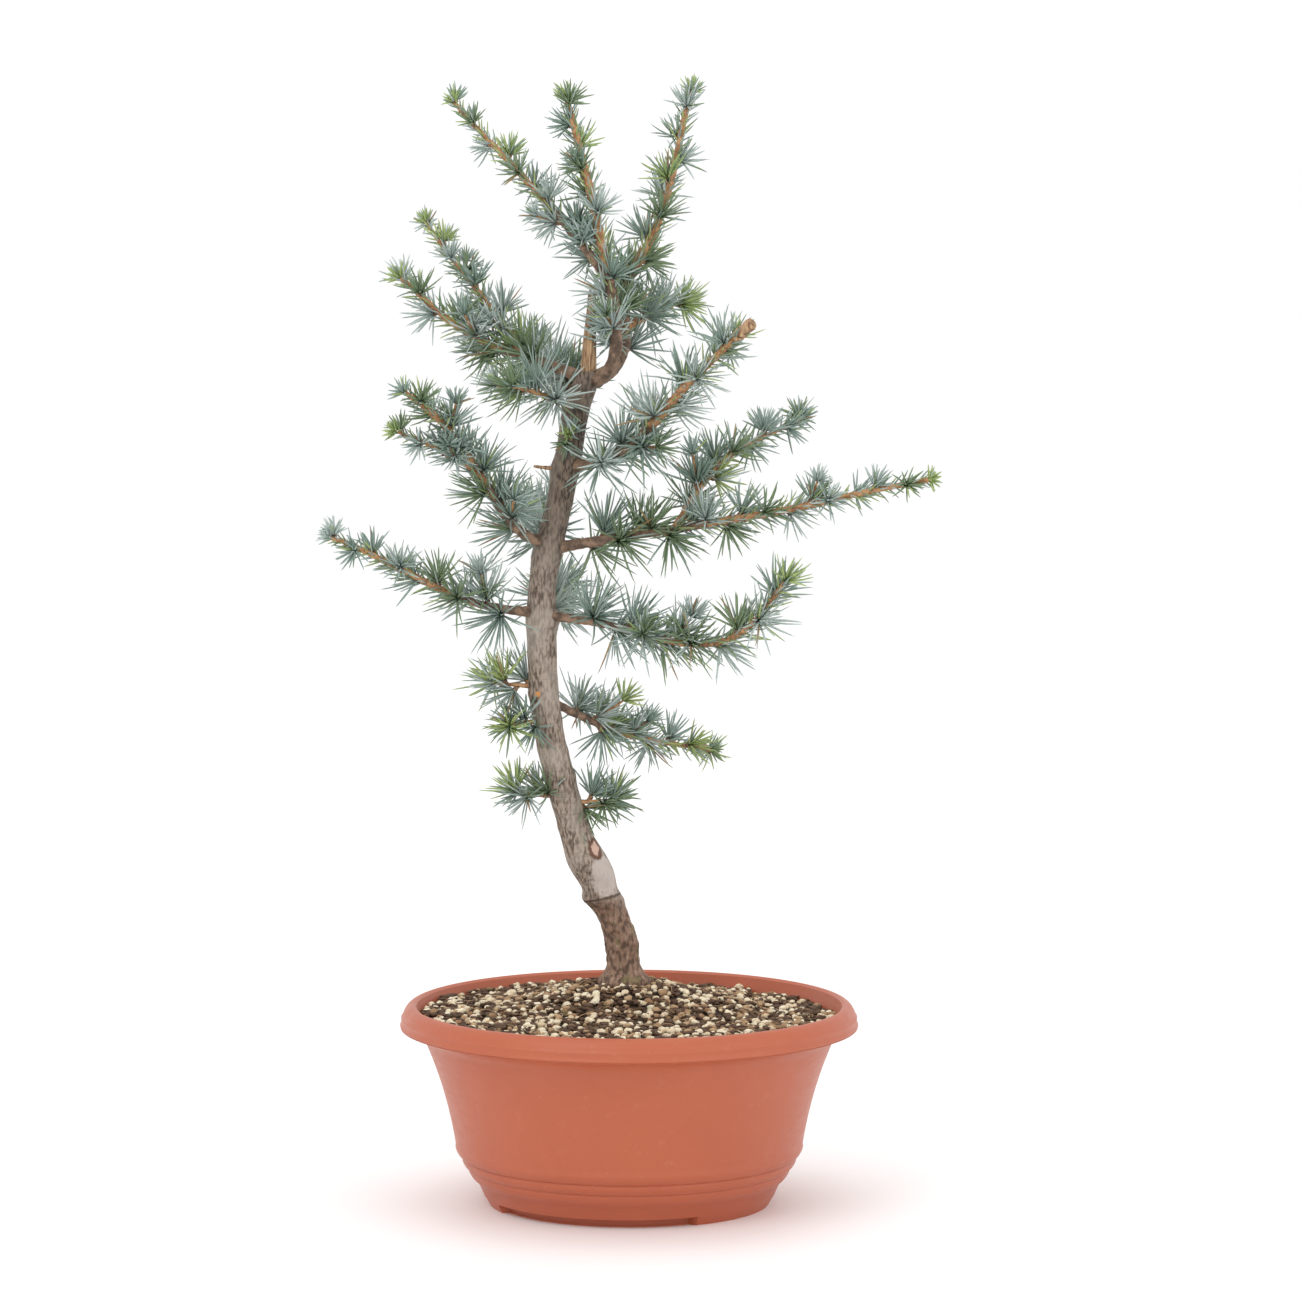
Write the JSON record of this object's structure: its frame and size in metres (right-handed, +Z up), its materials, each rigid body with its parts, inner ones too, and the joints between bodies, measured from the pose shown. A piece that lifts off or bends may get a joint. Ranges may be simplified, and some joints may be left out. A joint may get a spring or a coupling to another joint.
{
  "type": "potted blue atlas cedar",
  "caption": "Young blue cedar with a winding grafted trunk, open tufted boughs and upright leaders, in a round clay-coloured plastic bowl.",
  "frame": {"origin": "on the bowl's axis, at the plane its two feet stand on", "axes": "+Z up; -Y is the front, the side the picture shows; +X is to the viewer's right"},
  "size_m": [0.2963, 0.2206, 0.5404],
  "materials": {
    "pot_plastic": "satin clay-coloured moulded plastic",
    "potting_mix": "pale pumice grains among dark bark and peat",
    "bark": "grey-brown bark, smooth and streaked above the graft, flaky below",
    "young_bark": "brown to orange-tan young bark",
    "dead_wood": "bare dried wood, tan and streaked",
    "needles": "waxy blue-green needles, lime at the tips"
  },
  "bodies": {
    "root": {"bough_back_high": "young_bark", "bough_back_low": "young_bark", "bough_back_middle": "young_bark", "bough_high_left": "young_bark", "bough_high_right": "young_bark", "bough_high_right_cut_end": "dead_wood", "bough_long_right": "young_bark", "bough_low_left": "young_bark", "bough_low_right": "young_bark", "bough_middle_left": "young_bark", "bough_middle_right": "young_bark", "bough_short_left": "young_bark", "dead_leader": "dead_wood", "dead_twig": "dead_wood", "leader_middle": "young_bark", "leader_right": "young_bark", "needles_back_high": "needles", "needles_back_low": "needles", "needles_back_middle": "needles", "needles_high_left_1": "needles", "needles_high_left_2": "needles", "needles_high_right_1": "needles", "needles_high_right_2": "needles", "needles_leader_back": "needles", "needles_leader_left_1": "needles", "needles_leader_left_2": "needles", "needles_leader_middle_1": "needles", "needles_leader_middle_2": "needles", "needles_leader_right_1": "needles", "needles_leader_right_2": "needles", "needles_long_right_1": "needles", "needles_long_right_2": "needles", "needles_long_right_3": "needles", "needles_low_left_1": "needles", "needles_low_left_2": "needles", "needles_low_right_1": "needles", "needles_low_right_2": "needles", "needles_middle_left_1": "needles", "needles_middle_left_2": "needles", "needles_middle_right_1": "needles", "needles_middle_right_2": "needles", "needles_middle_right_3": "needles", "needles_short_left": "needles", "needles_side_high_left": "needles", "needles_side_long_right": "needles", "needles_side_middle_left": "needles", "pot": "pot_plastic", "soil": "potting_mix", "trunk": "bark", "tuft_front": "needles", "tuft_left_lower": "needles", "tuft_left_middle": "needles", "tuft_left_upper": "needles", "tuft_right_lower": "needles"}
  },
  "joints": []
}
